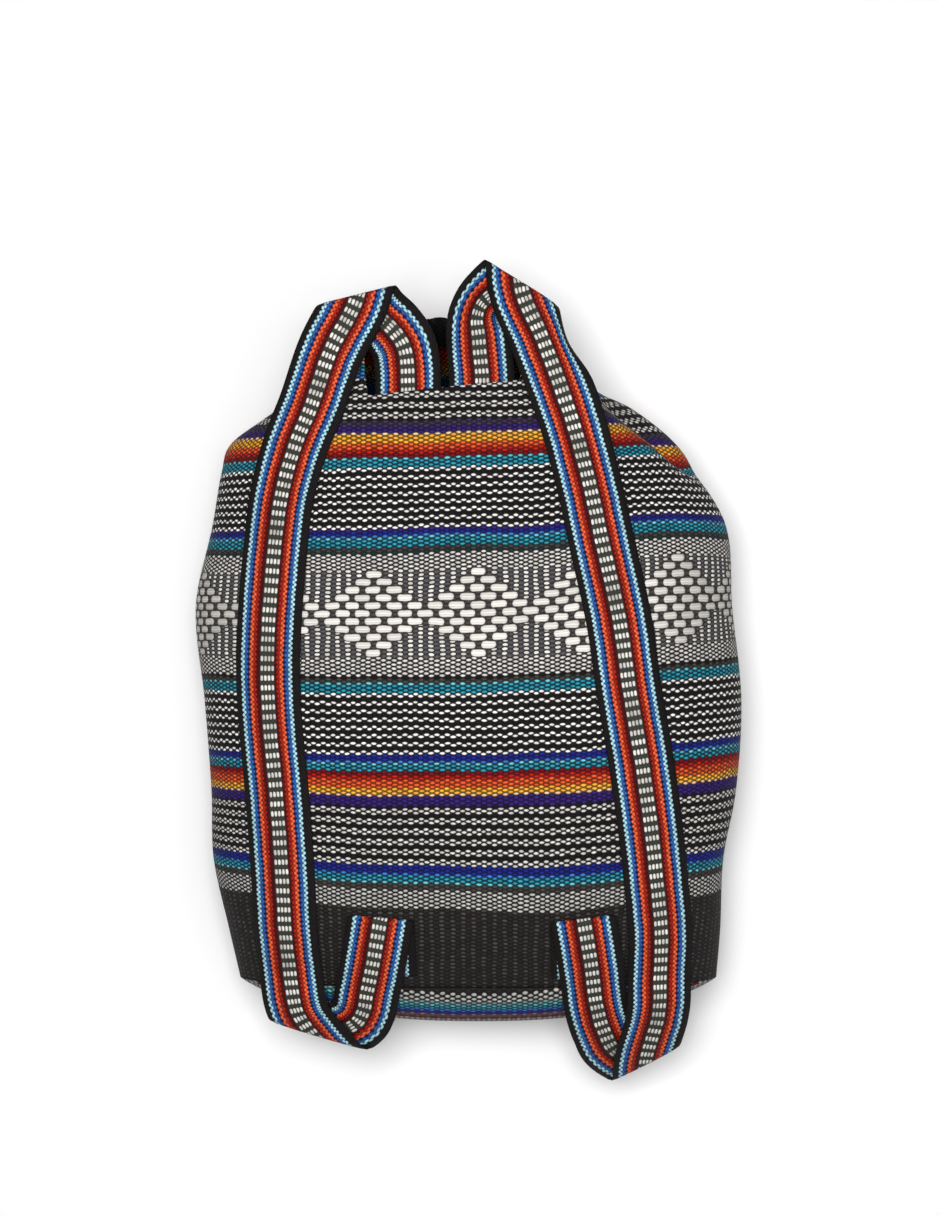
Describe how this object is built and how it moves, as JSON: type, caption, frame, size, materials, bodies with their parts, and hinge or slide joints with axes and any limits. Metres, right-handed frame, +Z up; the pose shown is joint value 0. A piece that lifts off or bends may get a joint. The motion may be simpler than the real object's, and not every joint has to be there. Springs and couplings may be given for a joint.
{
  "type": "morral bag",
  "caption": "Soft gathered-mouth bag of striped warp-faced cloth with woven shoulder straps, stuffed and lying on its front, straps folded along its back.",
  "frame": {"origin": "on the floor, under the middle of the whole bag and its strap loops", "axes": "+X to the right of the bag's back, +Y from the base to the mouth, +Z up from the floor, out of the bag's back"},
  "size_m": [0.327, 0.4864, 0.1512],
  "materials": {
    "striped_cloth": "warp-faced woven cotton, black and white dotted rows with teal, blue, orange and red stripes",
    "base_cloth": "the same woven cotton, its stripes across the base",
    "woven_band": "narrow woven band, black edges, cyan, blue, orange and red lines, white dots down the middle"
  },
  "bodies": {
    "root": {"bag_body": "striped_cloth", "base_panel": "base_cloth", "left_strap": "woven_band", "right_strap": "woven_band"}
  },
  "joints": []
}
